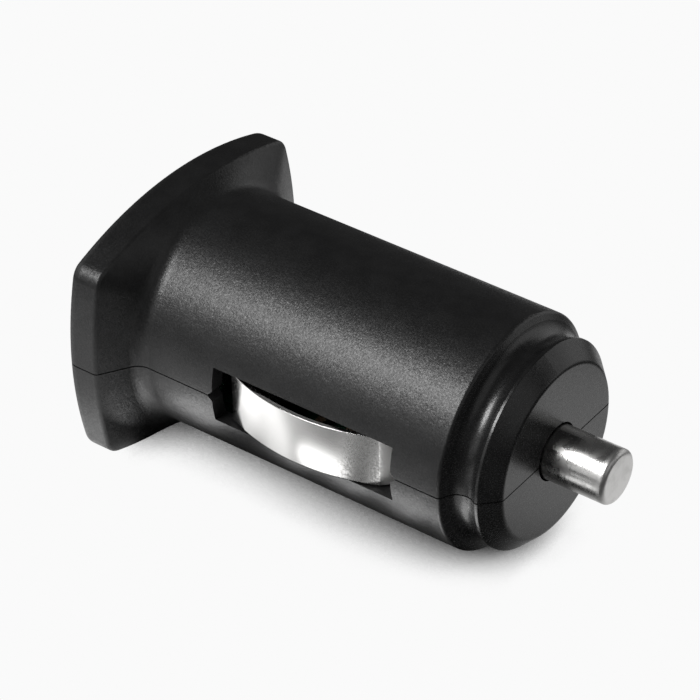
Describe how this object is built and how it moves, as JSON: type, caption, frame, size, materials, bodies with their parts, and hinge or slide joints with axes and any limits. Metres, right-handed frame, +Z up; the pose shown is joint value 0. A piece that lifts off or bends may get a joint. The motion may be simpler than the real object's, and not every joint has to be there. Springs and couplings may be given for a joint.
{
  "type": "car usb charger plug",
  "caption": "Short in-car charger plug: round barrel with sprung side leaves, sprung tip contact and a flared head with a rectangular socket.",
  "frame": {"origin": "on the plug's axis, where the sloped front of the head meets the round body", "axes": "+X along the axis from the head towards the tip contact, +Z up, with the parting plane of the two moulded halves at Z = 0 and the side leaves at -Y and +Y"},
  "size_m": [0.046, 0.0274, 0.0226],
  "materials": {
    "housing": "fine spark texture, matte black",
    "spring_steel": "nickel plated, rolled",
    "nickel": "turned and nickel plated",
    "contact_brass": "plated",
    "port_steel": "tin plated sheet",
    "insulator": "moulded",
    "board": "solder resist",
    "can_aluminium": "drawn can",
    "ferrite": "ground ferrite",
    "winding": "enamelled copper",
    "chip_black": "moulded",
    "ceramic": "fired",
    "lamp_white": "moulded",
    "clear_plastic": "clear"
  },
  "bodies": {
    "housing": {"upper_shell": "housing", "lower_shell": "housing", "tip_spring": "spring_steel", "spring_seat": "contact_brass", "usb_shell": "port_steel", "usb_tongue": "insulator", "usb_contacts": "contact_brass", "circuit_board": "board", "capacitor_cans": "can_aluminium", "capacitor_feet": "insulator", "inductor_core": "ferrite", "inductor_winding": "winding", "converter_chip": "chip_black", "chip_leads": "port_steel", "schottky_diode": "chip_black", "resistors": "chip_black", "ceramic_capacitors": "ceramic", "indicator_lamp": "lamp_white", "light_pipe": "clear_plastic"},
    "tip_contact": {"centre_pin": "nickel"},
    "left_leaf": {"side_contact_left": "spring_steel"},
    "right_leaf": {"side_contact_right": "spring_steel"}
  },
  "joints": [
    {"name": "tip_press", "type": "slide", "parent": "housing", "child": "tip_contact", "axis": [-1, 0, 0], "range_m": [0, 0.0025], "stiffness_N_per_m": 900, "springref_m": -0.003, "deforming": ["tip_spring"]},
    {"name": "left_leaf_press", "type": "slide", "parent": "housing", "child": "left_leaf", "axis": [0, 1, 0], "range_m": [0, 0.0008], "stiffness_N_per_m": 5000, "springref_m": -0.0004},
    {"name": "right_leaf_press", "type": "slide", "parent": "housing", "child": "right_leaf", "axis": [0, -1, 0], "range_m": [0, 0.0008], "stiffness_N_per_m": 5000, "springref_m": -0.0004}
  ]
}
